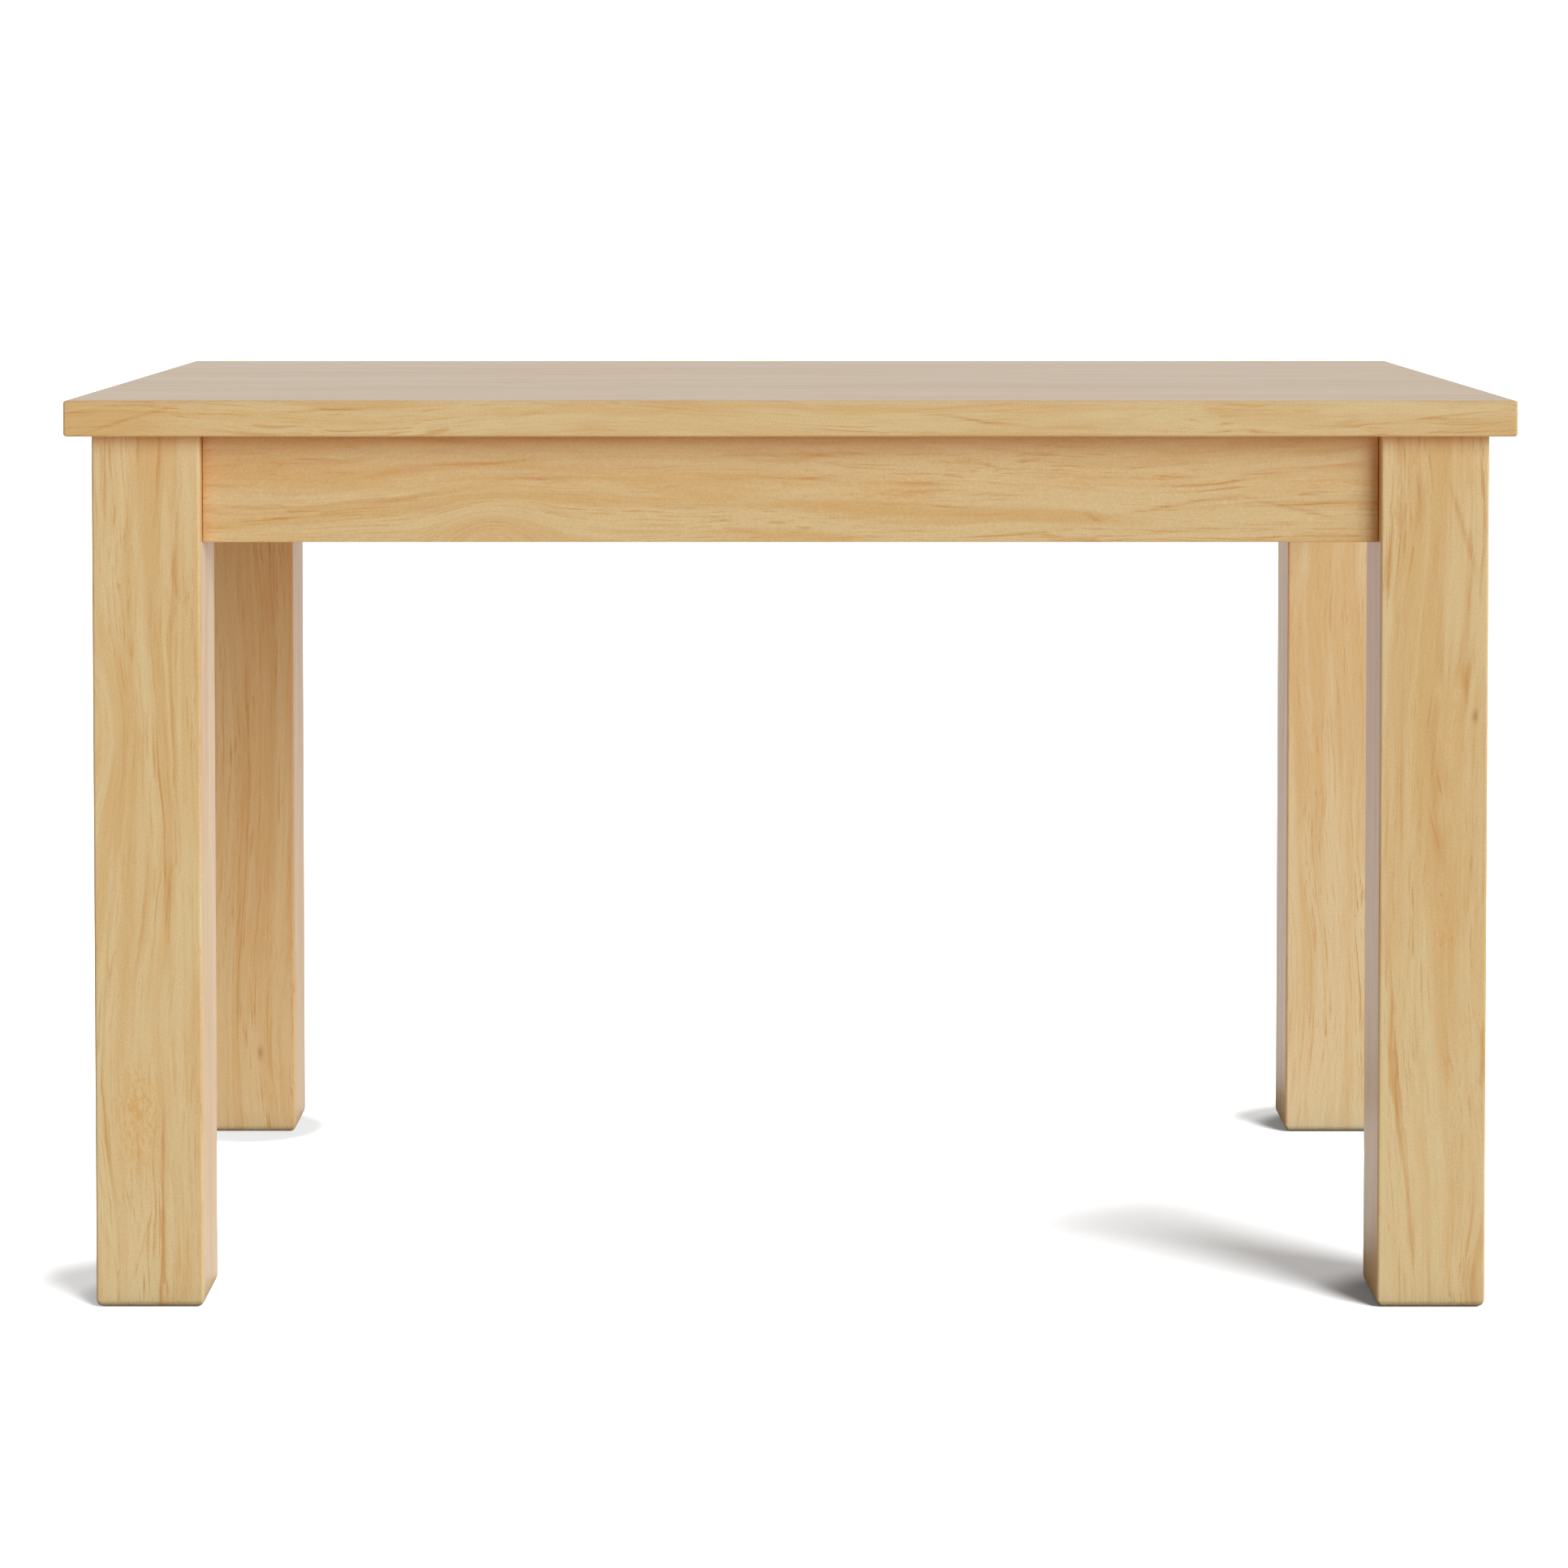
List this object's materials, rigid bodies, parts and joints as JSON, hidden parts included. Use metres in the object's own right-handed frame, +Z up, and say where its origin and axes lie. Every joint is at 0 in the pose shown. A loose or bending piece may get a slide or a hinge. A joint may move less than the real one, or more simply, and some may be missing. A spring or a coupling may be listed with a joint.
{
  "type": "table",
  "caption": "Plain solid-timber table: a flat boarded top over a square-edged apron, on four square legs that bolt to hidden corner blocks.",
  "frame": {"origin": "on the floor under the centre of the top, the middle of the table's footprint", "axes": "+X along the table's length, to the right as seen from the front; +Y from the front edge to the back edge; +Z up"},
  "size_m": [1.2, 0.8, 0.76],
  "materials": {
    "top_timber": "clear satin lacquer on pale pine-like timber",
    "leg_timber": "clear satin lacquer on pale pine-like timber",
    "apron_timber": "clear satin lacquer on pale pine-like timber",
    "block_timber": "planed, unfinished",
    "button_timber": "planed, unfinished",
    "zinc_steel": "bright zinc plate",
    "screw_steel": "bright zinc plate"
  },
  "bodies": {
    "root": {"top_board_1": "top_timber", "top_board_2": "top_timber", "top_board_3": "top_timber", "top_board_4": "top_timber", "top_board_5": "top_timber", "leg_front_left": "leg_timber", "leg_front_right": "leg_timber", "leg_back_left": "leg_timber", "leg_back_right": "leg_timber", "apron_front": "apron_timber", "apron_back": "apron_timber", "apron_left": "apron_timber", "apron_right": "apron_timber", "corner_block_front_left": "block_timber", "corner_block_front_right": "block_timber", "corner_block_back_left": "block_timber", "corner_block_back_right": "block_timber", "hanger_bolt_front_left_upper": "zinc_steel", "washer_front_left_upper": "zinc_steel", "nut_front_left_upper": "zinc_steel", "hanger_bolt_front_left_lower": "zinc_steel", "washer_front_left_lower": "zinc_steel", "nut_front_left_lower": "zinc_steel", "hanger_bolt_front_right_upper": "zinc_steel", "washer_front_right_upper": "zinc_steel", "nut_front_right_upper": "zinc_steel", "hanger_bolt_front_right_lower": "zinc_steel", "washer_front_right_lower": "zinc_steel", "nut_front_right_lower": "zinc_steel", "hanger_bolt_back_left_upper": "zinc_steel", "washer_back_left_upper": "zinc_steel", "nut_back_left_upper": "zinc_steel", "hanger_bolt_back_left_lower": "zinc_steel", "washer_back_left_lower": "zinc_steel", "nut_back_left_lower": "zinc_steel", "hanger_bolt_back_right_upper": "zinc_steel", "washer_back_right_upper": "zinc_steel", "nut_back_right_upper": "zinc_steel", "hanger_bolt_back_right_lower": "zinc_steel", "washer_back_right_lower": "zinc_steel", "nut_back_right_lower": "zinc_steel", "button_front_left": "button_timber", "button_front_centre": "button_timber", "button_front_right": "button_timber", "button_back_left": "button_timber", "button_back_centre": "button_timber", "button_back_right": "button_timber", "button_left": "button_timber", "button_right": "button_timber", "button_screw_front_left": "screw_steel", "button_screw_front_centre": "screw_steel", "button_screw_front_right": "screw_steel", "button_screw_back_left": "screw_steel", "button_screw_back_centre": "screw_steel", "button_screw_back_right": "screw_steel", "button_screw_left": "screw_steel", "button_screw_right": "screw_steel"}
  },
  "joints": []
}
